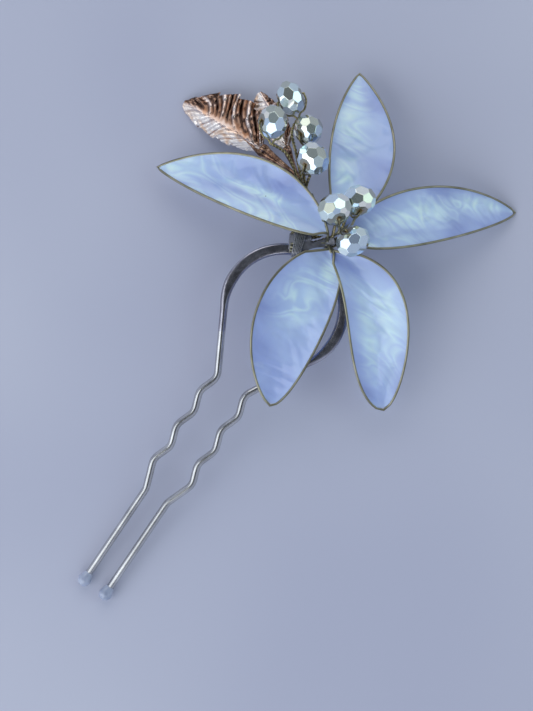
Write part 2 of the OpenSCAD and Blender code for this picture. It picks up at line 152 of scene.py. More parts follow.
def beside(line, first, radius, turn, pitch=None):
    """A line beside another one. With a pitch it winds round it, one turn in that length."""
    beside_line, travelled = [], 0.0
    for i, (along, side) in enumerate(zip(directions(line), carried_sides(line, first))):
        if i:
            travelled += (line[i] - line[i - 1]).length
        angle = math.radians(turn) + (2 * math.pi * travelled / pitch if pitch else 0)
        beside_line.append(line[i] + radius * (math.cos(angle) * side + math.sin(angle) * along.cross(side)))
    return beside_line


def evenly(line, spacing):
    """The same line with its points a given distance apart."""
    lengths = [0.0]
    for a, b in zip(line, line[1:]):
        lengths.append(lengths[-1] + (b - a).length)
    count = max(2, round(lengths[-1] / spacing))
    even, i = [], 0
    for k in range(count + 1):
        at = lengths[-1] * k / count
        while i < len(line) - 2 and lengths[i + 1] < at:
            i += 1
        step = lengths[i + 1] - lengths[i]
        even.append(line[i].lerp(line[i + 1], (at - lengths[i]) / step if step else 0))
    return even


# ---------------------------------------------------------------------------- making meshes

def deselect():
    bpy.ops.object.select_all(action="DESELECT")


def shaped_grid(name, columns, rows, place):
    """A grid with that many points each way, every point moved to place(column, row)."""
    deselect()
    bpy.ops.mesh.primitive_grid_add(x_subdivisions=columns - 1, y_subdivisions=rows - 1, size=2)
    piece = bpy.context.object
    piece.name = name
    for vertex in piece.data.vertices:
        column = round((vertex.co.x + 1) / 2 * (columns - 1))
        row = round((vertex.co.y + 1) / 2 * (rows - 1))
        vertex.co = place(column, row) * MM
    return piece


def edit(piece, select="SELECT"):
    deselect()
    bpy.context.view_layer.objects.active = piece
    piece.select_set(True)
    bpy.ops.object.mode_set(mode="EDIT")
    bpy.ops.mesh.select_all(action=select)


def done():
    bpy.ops.object.mode_set(mode="OBJECT")


def close_up(piece):
    """Joins the seam, fills the open ends and turns every face outwards."""
    edit(piece)
    bpy.ops.mesh.remove_doubles(threshold=1e-6)
    bpy.ops.mesh.select_all(action="SELECT")
    bpy.ops.mesh.fill_holes(sides=0)
    bpy.ops.mesh.select_all(action="SELECT")
    bpy.ops.mesh.normals_make_consistent(inside=False)
    done()
    return piece


def through(name, rings):
    """A closed skin through rings of points, which all have the same count."""
    sides = len(rings[0])
    piece = shaped_grid(name, len(rings), sides + 1, lambda column, row: rings[column][row % sides])
    return close_up(piece)


def wire(name, line, radius, sides=10, first=Vector((0.3, 0.2, 1))):
    """Round wire along a line, with one radius or one for each point."""
    radii = radius if isinstance(radius, list) else [radius] * len(line)
    rings = []
    for at, along, side, r in zip(line, directions(line), carried_sides(line, first), radii):
        across = along.cross(side)
        rings.append([at + r * (math.cos(2 * math.pi * k / sides) * side
                                + math.sin(2 * math.pi * k / sides) * across) for k in range(sides)])
    return through(name, rings)


def join(name, pieces):
    deselect()
    for piece in pieces:
        piece.select_set(True)
    bpy.context.view_layer.objects.active = pieces[0]
    bpy.ops.object.join()
    pieces[0].name = name
    return pieces[0]


def modify(piece, kind, **settings):
    """Adds a modifier and applies it."""
    deselect()
    bpy.context.view_layer.objects.active = piece
    piece.select_set(True)
    modifier = piece.modifiers.new(kind.title(), kind)
    for key, value in settings.items():
        setattr(modifier, key, value)
    bpy.ops.object.modifier_apply(modifier=modifier.name)


def smooth(piece, degrees=60):
    deselect()
    bpy.context.view_layer.objects.active = piece
    piece.select_set(True)
    bpy.ops.object.shade_smooth_by_angle(angle=math.radians(degrees))


def finish_piece(piece, material, slot, *nodes, body="pin_and_flower"):
    """Gives a piece its finish and its body, and lets it stand for its CAD nodes."""
    piece.data.materials.clear()
    piece.data.materials.append(material)
    if body:
        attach(piece, body)
    if nodes:
        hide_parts(*nodes)
    return piece


# ---------------------------------------------------------------------------- finishes

def new_material(name):
    material = bpy.data.materials.new(name)
    material.use_nodes = True
    nodes, links = material.node_tree.nodes, material.node_tree.links
    return material, nodes, links, nodes["Principled BSDF"]


def coordinates(nodes, links, scale=(1, 1, 1), turn=0.0):
    """Object coordinates in millimetres, turned about Z and stretched."""
    place = nodes.new("ShaderNodeTexCoord")
    mapping = nodes.new("ShaderNodeMapping")
    mapping.inputs["Scale"].default_value = [s / MM for s in scale]
    mapping.inputs["Rotation"].default_value = (0, 0, turn)
    mapping.vector_type = "POINT"
    links.new(place.outputs["Object"], mapping.inputs["Vector"])
    return mapping.outputs["Vector"]


def noise_node(nodes, links, at, scale, detail=3.0, distortion=0.0, kind="FBM"):
    texture = nodes.new("ShaderNodeTexNoise")
    texture.noise_type = kind
    texture.inputs["Scale"].default_value = scale
    texture.inputs["Detail"].default_value = detail
    texture.inputs["Distortion"].default_value = distortion
    links.new(at, texture.inputs["Vector"])
    return texture.outputs["Fac"]


def ramp_node(nodes, links, value, stops):
    ramp = nodes.new("ShaderNodeValToRGB")
    while len(ramp.color_ramp.elements) > 1:
        ramp.color_ramp.elements.remove(ramp.color_ramp.elements[-1])
    for i, (position, colour) in enumerate(stops):
        stop = ramp.color_ramp.elements[0] if i == 0 else ramp.color_ramp.elements.new(position)
        stop.position = position
        stop.color = (*colour, 1)
    links.new(value, ramp.inputs["Fac"])
    return ramp.outputs["Color"]


def grey(level):
    return (level, level, level)


def mix_node(nodes, links, factor, a, b, mode="MIX"):
    """Mixes two colours. Each of them and the factor is a socket or a value."""
    mix = nodes.new("ShaderNodeMix")
    mix.data_type = "RGBA"
    mix.blend_type = mode
    for socket, value in ((mix.inputs[0], factor), (mix.inputs[6], a), (mix.inputs[7], b)):
        if isinstance(value, bpy.types.NodeSocket):
            links.new(value, socket)
        elif isinstance(value, tuple):
            socket.default_value = (*value, 1)
        else:
            socket.default_value = value
    return mix.outputs[2]


def bump_node(nodes, links, height, distance, strength=1.0, normal=None):
    """Relief of that many millimetres."""
    bump = nodes.new("ShaderNodeBump")
    bump.inputs["Distance"].default_value = distance * MM
    bump.inputs["Strength"].default_value = strength
    links.new(height, bump.inputs["Height"])
    if normal is not None:
        links.new(normal, bump.inputs["Normal"])
    return bump.outputs["Normal"]


def metal(name, colours, roughness, patch_size, scratch_size, relief):
    """Metal with cloudy colour, uneven polish and fine drawn scratches."""
    material, nodes, links, shader = new_material(name)
    at = coordinates(nodes, links)
    cloud = noise_node(nodes, links, at, 1 / patch_size, 4, 0.6)
    fine = noise_node(nodes, links, at, 1 / scratch_size, 2)
    stops = [(0.3 + 0.4 * i / (len(colours) - 1), colour) for i, colour in enumerate(colours)]
    links.new(ramp_node(nodes, links, cloud, stops), shader.inputs["Base Color"])
    rough = ramp_node(nodes, links, fine, [(0.3, grey(roughness[0])), (0.75, grey(roughness[1]))])
    links.new(rough, shader.inputs["Roughness"])
    links.new(bump_node(nodes, links, fine, relief), shader.inputs["Normal"])
    shader.inputs["Metallic"].default_value = 1.0
    return material


def pearl_resin(name, turn):
    """Poured milky resin: periwinkle with specks and a wet surface, and painted reflections: lighter blue and mint
    swirls where the painted reflection patches lie.
    """
    material, nodes, links, shader = new_material(name)
    along = coordinates(nodes, links, (0.5, 1, 1), turn)
    at = coordinates(nodes, links)
    drift = noise_node(nodes, links, along, 0.11, 1.5, 0.8)
    body = ramp_node(nodes, links, drift, [
        (0.32, (0.26, 0.33, 0.61)), (0.46, (0.34, 0.43, 0.72)), (0.60, (0.42, 0.53, 0.80))])
    # Painted reflection: a per-point mask lightens the body towards pale blue and lays mint swirls over it.
    painted_reflection = nodes.new("ShaderNodeAttribute")
    painted_reflection.attribute_name = "painted_reflection"
    swirl = noise_node(nodes, links, along, 0.11, 1.5, 2.2)
    band = ramp_node(nodes, links, swirl, [
        (0.36, grey(0.15)), (0.44, grey(0.85)), (0.50, grey(0.30)), (0.57, grey(1.0)), (0.66, grey(0.25))])
    painted_reflection_swirls = mix_node(nodes, links, 1.0, painted_reflection.outputs["Color"], band, "MULTIPLY")
    body = mix_node(nodes, links, painted_reflection.outputs["Fac"], body, (0.46, 0.60, 0.86))
    body = mix_node(nodes, links, painted_reflection_swirls, body, (0.70, 0.90, 0.92))
    speck = nodes.new("ShaderNodeTexVoronoi")
    speck.inputs["Scale"].default_value = 0.16
    links.new(at, speck.inputs["Vector"])
    dots = ramp_node(nodes, links, speck.outputs["Distance"], [(0.012, grey(1)), (0.022, grey(0))])
    body = mix_node(nodes, links, dots, body, (0.05, 0.06, 0.09))
    links.new(body, shader.inputs["Base Color"])
    waves = noise_node(nodes, links, along, 0.15, 1, 1.6)
    fine = noise_node(nodes, links, at, 1.6, 2)
    relief = bump_node(nodes, links, waves, 0.7, 0.8)
    links.new(bump_node(nodes, links, fine, 0.003, 0.5, relief), shader.inputs["Normal"])
    links.new(ramp_node(nodes, links, fine, [(0.2, grey(0.07)), (0.8, grey(0.14))]),
              shader.inputs["Roughness"])
    shader.inputs["Subsurface Weight"].default_value = 0.3
    shader.inputs["Subsurface Radius"].default_value = (0.6, 0.8, 1.0)
    shader.inputs["Subsurface Scale"].default_value = 0.8 * MM
    shader.inputs["IOR"].default_value = 1.5
    shader.inputs["Coat Weight"].default_value = 0.35
    shader.inputs["Coat Roughness"].default_value = 0.03
    return material


def pearl_glass():
    """Glass with a mirror-like pearl coat, each facet a shade of its own, amber round the bore."""
    material, nodes, links, shader = new_material("pearl_coated_glass")
    facet = nodes.new("ShaderNodeAttribute")
    facet.attribute_name = "facet_shade"
    tint = ramp_node(nodes, links, facet.outputs["Fac"], [
        (0.0, (0.30, 0.29, 0.24)), (0.25, (0.56, 0.60, 0.50)), (0.5, (0.62, 0.76, 0.92)),
        (0.75, (0.80, 0.98, 0.88)), (1.0, (1.0, 0.98, 0.86))])
    bore = nodes.new("ShaderNodeAttribute")
    bore.attribute_name = "bore_distance"
    amber = ramp_node(nodes, links, bore.outputs["Fac"], [
        (0.07, grey(1)), (0.14, grey(0.8)), (0.30, grey(0))])
    at = coordinates(nodes, links)
    cloud = noise_node(nodes, links, at, 0.5, 3)
    tint = mix_node(nodes, links, cloud, tint, (0.66, 0.72, 0.66), "SOFT_LIGHT")
    links.new(mix_node(nodes, links, amber, tint, (0.34, 0.20, 0.06)), shader.inputs["Base Color"])
    links.new(ramp_node(nodes, links, cloud, [(0.3, grey(0.04)), (0.8, grey(0.12))]),
              shader.inputs["Roughness"])
    links.new(bump_node(nodes, links, cloud, 0.006), shader.inputs["Normal"])
    shader.inputs["Metallic"].default_value = 0.85
    shader.inputs["Coat Weight"].default_value = 1.0
    shader.inputs["Coat Roughness"].default_value = 0.02
    shader.inputs["Thin Film Thickness"].default_value = 360
    shader.inputs["Thin Film IOR"].default_value = 1.4
    return material


def rose_gold():
    """Stamped copper-gold leaf: brown in the folds, pale on the ribs. The same attribute carries painted light: one
    half of each leaf is painted lighter, cream and less metallic, the other half darker.
    """
    material, nodes, links, shader = new_material("rose_gold_leaf")
    at = coordinates(nodes, links)
    height = nodes.new("ShaderNodeAttribute")
    height.attribute_name = "rib_height_and_painted_side_light"
    cloud = noise_node(nodes, links, at, 0.35, 2, 0.8)
    # Painted light: the attribute's side term pushes one half of the leaf up into pale cream and the other half down
    # into brown.
    metal_colour = ramp_node(nodes, links, height.outputs["Fac"], [
        (0.15, (0.06, 0.035, 0.025)), (0.36, (0.28, 0.17, 0.12)),
        (0.50, (0.66, 0.55, 0.50)), (0.74, (1.0, 0.93, 0.86))])
    patina = ramp_node(nodes, links, cloud, [(0.34, (0.85, 0.66, 0.52)), (0.52, (1.0, 1.0, 1.0))])
    links.new(mix_node(nodes, links, 1.0, metal_colour, patina, "MULTIPLY"), shader.inputs["Base Color"])
    fine = noise_node(nodes, links, at, 3.0, 3)
    links.new(ramp_node(nodes, links, fine, [(0.3, grey(0.12)), (0.8, grey(0.26))]),
              shader.inputs["Roughness"])
    links.new(bump_node(nodes, links, fine, 0.02), shader.inputs["Normal"])
    links.new(ramp_node(nodes, links, height.outputs["Fac"], [(0.50, grey(1)), (0.76, grey(0.45))]),
              shader.inputs["Metallic"])
    return material


def milky_tip():
    """Moulded milky ball: cloudy white-blue, with light inside it."""
    material, nodes, links, shader = new_material("milky_tip")
    at = coordinates(nodes, links)
    cloud = noise_node(nodes, links, at, 0.6, 3, 0.7)
    links.new(ramp_node(nodes, links, cloud, [(0.3, (0.30, 0.35, 0.46)), (0.7, (0.46, 0.50, 0.62))]),
              shader.inputs["Base Color"])
    fine = noise_node(nodes, links, at, 3.0, 2)
    links.new(ramp_node(nodes, links, fine, [(0.3, grey(0.14)), (0.8, grey(0.28))]),
              shader.inputs["Roughness"])
    links.new(bump_node(nodes, links, fine, 0.02), shader.inputs["Normal"])
    shader.inputs["Subsurface Weight"].default_value = 0.6
    shader.inputs["Subsurface Radius"].default_value = (0.8, 0.9, 1.0)
    shader.inputs["Subsurface Scale"].default_value = 1.2 * MM
    shader.inputs["Coat Weight"].default_value = 0.5
    return material


def clear_glue():
    """Set clear adhesive, greyed by dust and small bubbles."""
    material, nodes, links, shader = new_material("clear_glue")
    at = coordinates(nodes, links)
    cloud = noise_node(nodes, links, at, 0.7, 3, 0.8)
    links.new(ramp_node(nodes, links, cloud, [(0.3, (0.30, 0.31, 0.35)), (0.7, (0.52, 0.53, 0.60))]),
              shader.inputs["Base Color"])
    links.new(ramp_node(nodes, links, cloud, [(0.3, grey(0.06)), (0.8, grey(0.20))]),
              shader.inputs["Roughness"])
    links.new(bump_node(nodes, links, cloud, 0.10), shader.inputs["Normal"])
    shader.inputs["Transmission Weight"].default_value = 0.60
    shader.inputs["IOR"].default_value = 1.35
    return material


pin_steel = metal("drawn_pin_steel", [(0.44, 0.44, 0.44), (0.54, 0.54, 0.54), (0.66, 0.66, 0.66)],
                  (0.14, 0.22), 5.0, 1.0, 0.001)
# Painted dark reflection: the band is the same steel as the legs, given darker, bluer colours for the dark
# surroundings it reflects.
band_steel_painted_dark = metal("flattened_band_steel_painted_dark", [(0.30, 0.29, 0.33), (0.42, 0.41, 0.46), (0.54, 0.54, 0.60)],
                   (0.16, 0.26), 5.0, 0.8, 0.002)
rim_brass = metal("petal_rim_brass", [(0.20, 0.19, 0.13), (0.27, 0.26, 0.18), (0.36, 0.34, 0.25)],
                  (0.28, 0.38), 4.0, 0.8, 0.002)
bead_brass = metal("bead_wire_brass", [(0.15, 0.13, 0.07), (0.27, 0.23, 0.12), (0.46, 0.40, 0.23)],
                   (0.18, 0.34), 1.4, 0.3, 0.004)
stem_copper = metal("leaf_stem_copper", [(0.10, 0.05, 0.035), (0.25, 0.14, 0.09), (0.58, 0.38, 0.27)],
                    (0.18, 0.34), 1.2, 0.3, 0.006)
binding_silver = metal("binding_wire_silver", [(0.20, 0.20, 0.21), (0.30, 0.30, 0.32), (0.42, 0.42, 0.44)],
                       (0.22, 0.34), 2.5, 0.5, 0.002)
leaf_metal = rose_gold()
bead_glass = pearl_glass()
tip_resin = milky_tip()
glue = clear_glue()


# ---------------------------------------------------------------------------- the pin

def on_pin(x, y, z=0.0):
    """A place in the sloping plane of the pin."""
    return Vector((x, y * math.cos(PIN_TILT) - z * math.sin(PIN_TILT),
                   TIP_RADIUS + y * math.sin(PIN_TILT) + z * math.cos(PIN_TILT)))


PIN_NORMAL = Vector((0, -math.sin(PIN_TILT), math.cos(PIN_TILT)))
wave_corner = WAVE_PITCH / 4 * math.tan(WAVE_ANGLE)
flank_top = Vector((CROWN_RADIUS * math.cos(FLANK), CROWN_Y - CROWN_RADIUS * math.sin(FLANK)))
shoulder = Vector((WAVED_GAP / 2 - wave_corner, 0))
shoulder.y = flank_top.y - (flank_top.x - shoulder.x) / math.tan(FLANK)
# The crown and each leg meet in a round part of the flank, above the place where the wire flexes
SPLIT_RISE = 8.0
split = shoulder + Vector((math.tan(FLANK), 1)) * SPLIT_RISE


def leg_line(side):
    """Middle line of a leg: straight wire with a round bend at each corner."""
    last_crest = shoulder.y - WAVE_PITCH * (WAVES - 0.5)
    inward = last_crest - (WAVED_GAP / 2 + wave_corner - STRAIGHT_GAP / 2) / math.tan(WAVE_ANGLE)
    corners = [split.copy()]
    for i in range(2 * WAVES):
        lean = wave_corner if i % 2 else -wave_corner
        corners.append(Vector((WAVED_GAP / 2 + lean, shoulder.y - i * WAVE_PITCH / 2)))
    corners += [Vector((STRAIGHT_GAP / 2, inward)), Vector((STRAIGHT_GAP / 2, 0))]
    line = [corners[0]]
    for before, corner, after in zip(corners, corners[1:], corners[2:]):
        arriving, leaving = (corner - before).normalized(), (after - corner).normalized()
        turn = arriving.angle_signed(leaving)
        reach = BEND_RADIUS * math.tan(abs(turn) / 2)
        start, end = corner - arriving * reach, corner + leaving * reach
        for k in range(9):
            t = k / 8
            line.append(start.lerp(corner, t).lerp(corner.lerp(end, t), t))
    line.append(corners[-1])
    flat = evenly([Vector((p.x, p.y, 0)) for p in line], 0.45)
    return [on_pin(side * p.x, p.y) for p in flat]


def band_ring(at, along, flat, sides=24):
    """Section of the head: round where flat is 0, a flattened band where it is 1."""
    outward = along.cross(PIN_NORMAL).normalized()
    width = blend(WIRE_RADIUS, BAND_WIDTH / 2, flat)
    height = blend(WIRE_RADIUS, BAND_THICKNESS / 2, flat)
    square = blend(1.0, 0.62, flat)
    ring = []
    for k in range(sides):
        c, s = math.cos(2 * math.pi * k / sides), math.sin(2 * math.pi * k / sides)
        ring.append(at + outward * width * math.copysign(abs(c) ** square, c)
                    + PIN_NORMAL * height * math.copysign(abs(s) ** square, s))
    return ring


def crown():
    """Flattened band round the crown, which becomes round wire on the flanks."""
    flat_line = [Vector((split.x, split.y, 0))]
    steps = 96
    for i in range(steps + 1):
        angle = blend(-FLANK, math.pi + FLANK, i / steps)
        flat_line.append(Vector((CROWN_RADIUS * math.cos(angle),
                                 CROWN_Y + CROWN_RADIUS * math.sin(angle), 0)))
    flat_line.append(Vector((-split.x, split.y, 0)))
    flat_line = evenly(flat_line, 0.5)
    line = [on_pin(p.x, p.y) for p in flat_line]
    rings = [band_ring(at, along, ease((p.y - flank_top.y + 2) / 7))
             for at, along, p in zip(line, directions(line), flat_line)]
    piece = through("crown_band", rings)
    smooth(piece, 50)
    finish_piece(piece, band_steel_painted_dark, "crown_band", "pin_head")


def tip_radius(y):
    """Pear shape of a moulded tip, at a distance up the leg from the ball's middle."""
    ball = math.sqrt(max(TIP_RADIUS ** 2 - y * y, 0.0))
    neck = blend(TIP_RADIUS * 0.93, WIRE_RADIUS + 0.12, ease((y - 0.3) / (TIP_NECK - 0.3)))
    return ball if y < 0.3 else max(min(ball, neck), neck * (y < TIP_NECK))


def leg(side, name):
    """One leg, in one piece from the flank to its tip, bending where the pin's wire flexes."""
    line = leg_line(side)
    wire_piece = wire(name + "_wire", line, WIRE_RADIUS, 20, PIN_NORMAL)
    smooth(wire_piece)
    finish_piece(wire_piece, pin_steel, "pin_wire", name, body=None)
    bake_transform(wire_piece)
    rises = [-TIP_RADIUS * math.cos(math.pi * k / 20) for k in range(20)]
    rises = [y for y in rises if y < 0.6] + [0.6 + (TIP_NECK - 0.6) * k / 8 for k in range(9)]
    ball_line = [on_pin(side * STRAIGHT_GAP / 2, y) for y in rises]
    ball = wire(name.replace("leg", "tip_ball"), ball_line,
                [max(tip_radius(y), 0.02) for y in rises], 28, PIN_NORMAL)
    smooth(ball)
    finish_piece(ball, tip_resin, "moulded_tip", name.replace("leg", "tip"), body=name)


crown()
leg(-1, "left_leg")
leg(1, "right_leg")


# ---------------------------------------------------------------------------- the flower's stem

def on_crown(angle, out, z):
    radians = math.radians(angle)
    return Vector((-(CROWN_RADIUS + out) * math.sin(radians), CROWN_Y + (CROWN_RADIUS + out) * math.cos(radians), z))


stem_line = smooth_line(
    [FLOWER + Vector((0, 0, 0.5)), FLOWER - Vector((0, 0, 1)), FLOWER + Vector((-0.7, -0.8, -2.5)),
     FLOWER + Vector((-2.1, -2.6, -3)), on_crown(BOUND_FROM + 3, 0.2, STEM_Z),
     on_crown(21, 0.2, STEM_Z), on_crown(25, 0.2, STEM_Z), on_crown(BOUND_TO, 0.2, STEM_Z)], 4)


def stem_strand(slot):
    return beside(stem_line, Vector((1, 0, 0)), STRAND_RING, -slot)


def twisted_pair(name, line, radius, pitch, sides=8):
    """Two wires twisted round each other along a line."""
    fine = evenly(line, pitch / 10)
    first = Vector((0.2, 0.9, 0.3))
    return [wire(f"{name}_{turn}", beside(fine, first, radius * 0.92, turn, pitch), radius, sides)
            for turn in (0, 180)]


# ---------------------------------------------------------------------------- petals

class Petal:
    """Outline and lie of one petal, measured from the middle of the flower."""

    def __init__(self, reach, way, width, root_fullness, tip_fullness, bow, lean, drop, arch,
                 hollow, twist, rise, shift, strand, painted_reflection_patches):
        self.reach, self.way, self.width = reach, way, width
        self.root_fullness, self.tip_fullness = root_fullness, tip_fullness
        self.bow, self.lean, self.drop, self.arch = bow, lean, drop, arch
        self.hollow, self.twist, self.rise, self.shift = hollow, twist, rise, shift
        self.strand, self.painted_reflection_patches = strand, painted_reflection_patches
        self.root = ROOT_RADIUS / reach

    def past_root(self, u):
        return min(max((u - self.root) / (1 - self.root), 0.0), 1.0)

    def half_width(self, u):
        s = self.past_root(u)
        peak = self.root_fullness / (self.root_fullness + self.tip_fullness)
        closing = (RIM_RADIUS + 0.03) * (1 - s)
        return closing + self.width / 2 * (s / peak) ** self.root_fullness \
            * ((1 - s) / (1 - peak)) ** self.tip_fullness

    def point(self, u, v):
        out, left = heading(self.way), heading(self.way + 90)
        half = self.half_width(u)
        middle = 4 * u * (1 - u) * (self.bow + 2 * self.lean * (2 * u - 1)) \
            + self.shift * (1 - self.past_root(u)) ** 8
        z = blend(self.rise, 0, u) - self.drop * u ** 1.4 + self.arch * 4 * u * (1 - u)
        z += (v * v - 1) * self.hollow * 2 * half / self.width + self.twist * v * half
        return FLOWER + out * self.reach * u + left * (middle + v * half) + UP * z

    def painted_reflection(self, u, v):
        """How strong the painted reflection is at a place, from soft patches (place along, across, size of each)."""
        return max(math.exp(-((u - along) / long) ** 2 - ((v - across) / wide) ** 2)
                   for along, across, long, wide in self.painted_reflection_patches)

    def station(self, t):
        """Share of the reach at a share of the steps, with closer steps at both ends."""
        return blend(self.root, 1, t + 0.06 * math.sin(2 * math.pi * t) - 0.02 * math.sin(math.pi * t))


# The last list of each petal places its painted reflection patches: along, across, length and width of each.
PETALS = {
    "left": Petal(37.6, 190.5, 10.6, 0.76, 0.88, -3.35, 0.2, 10.8, 1.7, 0.9, 0.06, -0.3, 0, 218,
                  [(0.92, 0, 0.22, 1.2), (0.45, 0.85, 0.45, 0.42), (0.42, 0.1, 0.25, 0.2)]),
    "upper": Petal(33.6, 115.4, 11.9, 0.93, 0.91, -2.6, 0.15, 9.6, 1.2, 1.1, -0.1, -0.8, 0, 119,
                   [(0.35, 0.45, 0.28, 0.35), (0.75, 0.4, 0.25, 0.6)]),
    "right": Petal(36.7, 44.3, 10.3, 0.61, 0.76, 1.9, 0.16, FLOWER.z - RIM_RADIUS, 1.4, 1.0, 0.05, 0.75, 0, 35,
                   [(0.45, 0.1, 0.22, 0.5), (0.8, 0.35, 0.2, 0.4), (0.2, -0.8, 0.25, 0.3)]),
    "lower_right": Petal(33.8, -39.1, 11.2, 0.6, 0.59, 3.4, -1.1, 8.0, 1.5, 1.2, 0.1, 0.6, -2.0, 303,
                         [(0.55, -0.3, 0.24, 0.35), (0.5, 0.4, 0.3, 0.5)]),
    "lower_left": Petal(33.8, -77.3, 13.2, 0.54, 0.68, -2.4, -0.1, 4.8, 0.8, 1.2, -0.08, -0.5, 0, 258,
                        [(0.36, 0.0, 0.17, 0.55), (0.2, 0.5, 0.12, 0.4)]),
}


def petal_film(name, petal):
    """Hollow film of resin across the loop, with the slow waves of a poured surface."""
    columns, rows = 110, 40
    shift = Vector((petal.way, petal.reach, 0))

    def place(column, row):
        t, v = blend(0.004, 0.988, column / (columns - 1)), 2 * row / (rows - 1) - 1
        at = petal.point(petal.station(t), v)
        local = Vector((t * petal.reach * 0.16, v * petal.half_width(petal.station(t)) * 0.26, 0)) + shift
        slow = noise.noise(local)
        quick = noise.noise(local * 2.7 + Vector((3.1, 1.7, 0.4)))
        calm = (1 - v * v) * math.sin(math.pi * t) ** 0.5
        return at + UP * calm * (0.30 * slow + 0.10 * quick)

    film = shaped_grid(name + "_petal_film", columns, rows, place)
    # Painted reflection: how strongly each point of the film is painted lighter and mint.
    painted_reflection = film.data.attributes.new("painted_reflection", "FLOAT", "POINT")
    for k, item in enumerate(painted_reflection.data):
        t, v = blend(0.004, 0.988, k % columns / (columns - 1)), 2 * (k // columns) / (rows - 1) - 1
        item.value = petal.painted_reflection(petal.station(t), v)
    modify(film, "SOLIDIFY", thickness=FILM_THICKNESS * MM, offset=0)
    edit(film)
    bpy.ops.mesh.normals_make_consistent(inside=False)
    done()
    smooth(film)
    finish_piece(film, pearl_resin(name + "_petal_resin", -math.radians(petal.way)), "pearl_resin",
                 name + "_petal_resin")


def petal_rim(name, petal):
    """One wire round the petal. Its two ends are twisted together and go down the stem."""
    steps = 60
    left_side = [petal.point(petal.station(k / steps), 1) for k in range(steps + 1)]
    right_side = [petal.point(petal.station(k / steps), -1) for k in range(steps + 1)]
    strand = stem_strand(petal.strand)[8:]
    ends = []
    for side_line in (left_side, right_side):
        neck = smooth_line([side_line[3], side_line[0].lerp(petal.point(petal.root, 0), 0.4), strand[0]], 5)
        ends.append(neck[1:-1])
    loop = list(reversed(ends[0])) + left_side[3:-1] + [petal.point(1, 0)] \
        + list(reversed(right_side[3:-1])) + ends[1]
    parts = [wire(name + "_loop", loop, RIM_RADIUS, 12, UP)]
    parts += twisted_pair(name + "_tail", [loop[0].lerp(loop[-1], 0.5)] + strand, STRAND_RADIUS * 0.52, 2.2)
    rim = join(name + "_petal_rim", parts)
    smooth(rim)
    finish_piece(rim, rim_brass, "petal_wire", name + "_petal_wire")


for petal_name, petal_shape in PETALS.items():
    petal_film(petal_name, petal_shape)
    petal_rim(petal_name, petal_shape)


# ---------------------------------------------------------------------------- beads

def faceted_bead():
    """A glass ball ground flat all over and drilled along Z, its middle at the origin, in millimetres."""
    deselect()
    bpy.ops.mesh.primitive_uv_sphere_add(segments=32, ring_count=16, radius=BEAD_RADIUS * 1.2)
    bead = bpy.context.object
    edit(bead)
    around = 8
    for latitude, offset in ((0, 0), (36, 0.5), (-36, 0.5), (66, 0), (-66, 0)):
        for k in range(around):
            angle = 2 * math.pi * (k + offset) / around
            rise = math.radians(latitude)
            normal = Vector((math.cos(angle) * math.cos(rise), math.sin(angle) * math.cos(rise), math.sin(rise)))
            reach = math.hypot(BEAD_RADIUS * 0.985 * math.cos(rise), BEAD_HALF * 1.1 * math.sin(rise))
            bpy.ops.mesh.select_all(action="SELECT")
            bpy.ops.mesh.bisect(plane_co=normal * reach, plane_no=normal, use_fill=True, clear_outer=True)
    for end in (1, -1):
        bpy.ops.mesh.select_all(action="SELECT")
        bpy.ops.mesh.bisect(plane_co=UP * end * BEAD_HALF, plane_no=UP * end, use_fill=True, clear_outer=True)
    bpy.ops.mesh.select_all(action="SELECT")
    bpy.ops.mesh.delete(type="ONLY_FACE")
    bpy.ops.mesh.select_all(action="SELECT")
    bpy.ops.mesh.remove_doubles(threshold=0.01)
    bpy.ops.mesh.select_all(action="SELECT")
    bpy.ops.mesh.convex_hull(use_existing_faces=False)
    bpy.ops.mesh.select_all(action="SELECT")
    bpy.ops.mesh.dissolve_limited(angle_limit=math.radians(1))
    bpy.ops.mesh.select_all(action="SELECT")
    bpy.ops.mesh.normals_make_consistent(inside=False)
    done()
    shades = random.Random(11)
    facet = bead.data.attributes.new("facet_shade", "FLOAT", "FACE")
    for item in facet.data:
        item.value = shades.random()
    modify(bead, "BEVEL", width=0.05, segments=2, limit_method="ANGLE", angle_limit=math.radians(8))
    deselect()
    bpy.ops.mesh.primitive_cylinder_add(vertices=24, radius=BEAD_WIRE_RADIUS + 0.08, depth=9)
    drill = bpy.context.object
    modify(bead, "BOOLEAN", operation="DIFFERENCE", object=drill, solver="EXACT")
    bpy.data.objects.remove(drill)
    near = bead.data.attributes.new("bore_distance", "FLOAT", "POINT")
    for vertex, item in zip(bead.data.vertices, near.data):
        item.value = math.hypot(vertex.co.x, vertex.co.y) / BEAD_RADIUS
    smooth(bead, 5)
    return bead


def turned_to(axis):
    return UP.rotation_difference(axis).to_matrix().to_4x4()


def set_bead(model, name, radius, spin):
    """A copy of the bead at its joint, its bore along the joint's axis."""
    bead = model.copy()
    bead.data = model.data.copy()
    bpy.context.scene.collection.objects.link(bead)
    bead.name = name + "_glass"
    size = radius / BEAD_RADIUS
    bead.data.transform(
        Matrix.Translation(joint_place(name + "_spin") * MM) @ turned_to(joint_axis(name + "_spin"))
        @ Matrix.Rotation(spin, 4, "Z") @ Matrix.Diagonal((size * MM, size * MM, MM, 1)))
    finish_piece(bead, bead_glass, "bead_glass", name, body=name)


